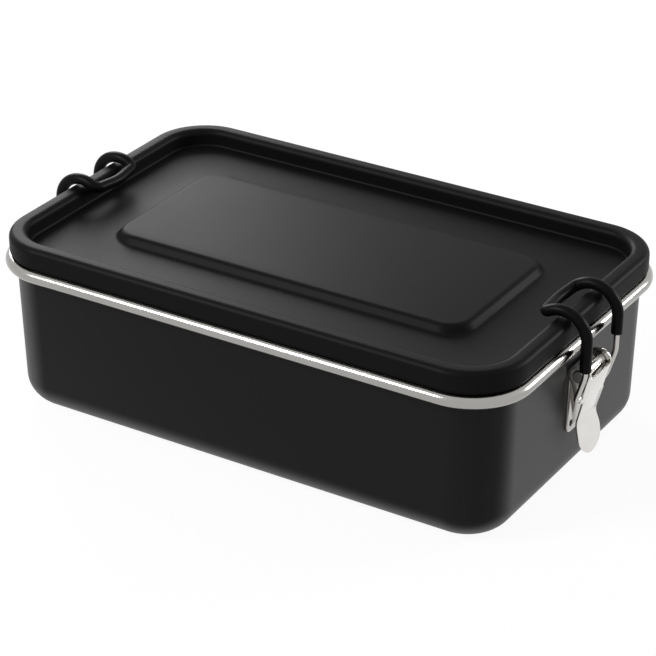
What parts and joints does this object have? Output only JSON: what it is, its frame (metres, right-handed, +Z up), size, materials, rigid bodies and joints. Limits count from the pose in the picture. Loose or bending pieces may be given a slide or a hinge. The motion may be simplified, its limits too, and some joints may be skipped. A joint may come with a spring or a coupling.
{
  "type": "metal lunch box",
  "caption": "Rectangular pressed steel lunch box with a rolled rim, a sealed lift-off lid with a raised centre, and an over-centre wire clip on each end.",
  "frame": {"origin": "middle of the underside, on the surface that the box stands on", "axes": "+X along the length towards the right clip, +Y across the width towards the back, +Z up"},
  "size_m": [0.2426, 0.144, 0.0796],
  "materials": {
    "tray_coat": "satin black coat outside, bare steel on rim and inside",
    "lid_coat": "satin black coat",
    "seal_rubber": "matte",
    "bracket_steel": "satin",
    "pin_steel": "bright",
    "lever_steel": "polished",
    "wire_steel": "bright drawn",
    "sleeve_rubber": "satin"
  },
  "bodies": {
    "tray": {"tray": "tray_coat", "right_bracket": "bracket_steel", "left_bracket": "bracket_steel"},
    "lid": {"lid": "lid_coat", "lid_seal": "seal_rubber"},
    "right_lever": {"right_lever": "lever_steel", "right_pivot_pin": "pin_steel"},
    "left_lever": {"left_lever": "lever_steel", "left_pivot_pin": "pin_steel"},
    "right_bail": {"right_bail_wire": "wire_steel", "right_bail_sleeve": "sleeve_rubber"},
    "left_bail": {"left_bail_wire": "wire_steel", "left_bail_sleeve": "sleeve_rubber"}
  },
  "joints": [
    {"name": "right_lever_throw", "type": "hinge", "parent": "tray", "child": "right_lever", "pos_m": [0.1149, 0, 0.0496], "axis": [0, -1, 0], "range_deg": [0, 135]},
    {"name": "right_bail_swing", "type": "hinge", "parent": "right_lever", "child": "right_bail", "pos_m": [0.11564, 0, 0.04113], "axis": [0, -1, 0], "range_deg": [-160, 0]},
    {"name": "left_lever_throw", "type": "hinge", "parent": "tray", "child": "left_lever", "pos_m": [-0.1149, 0, 0.0496], "axis": [0, 1, 0], "range_deg": [0, 135]},
    {"name": "left_bail_swing", "type": "hinge", "parent": "left_lever", "child": "left_bail", "pos_m": [-0.11564, 0, 0.04113], "axis": [0, 1, 0], "range_deg": [-160, 0]},
    {"name": "lid_lift", "type": "slide", "parent": "tray", "child": "lid", "axis": [0, 0, 1], "range_m": [0, 0.12]}
  ],
  "couplings": [
    {"joint": "right_bail_swing", "follows": "right_lever_throw", "ratio": -1.18},
    {"joint": "left_bail_swing", "follows": "left_lever_throw", "ratio": -1.18}
  ]
}
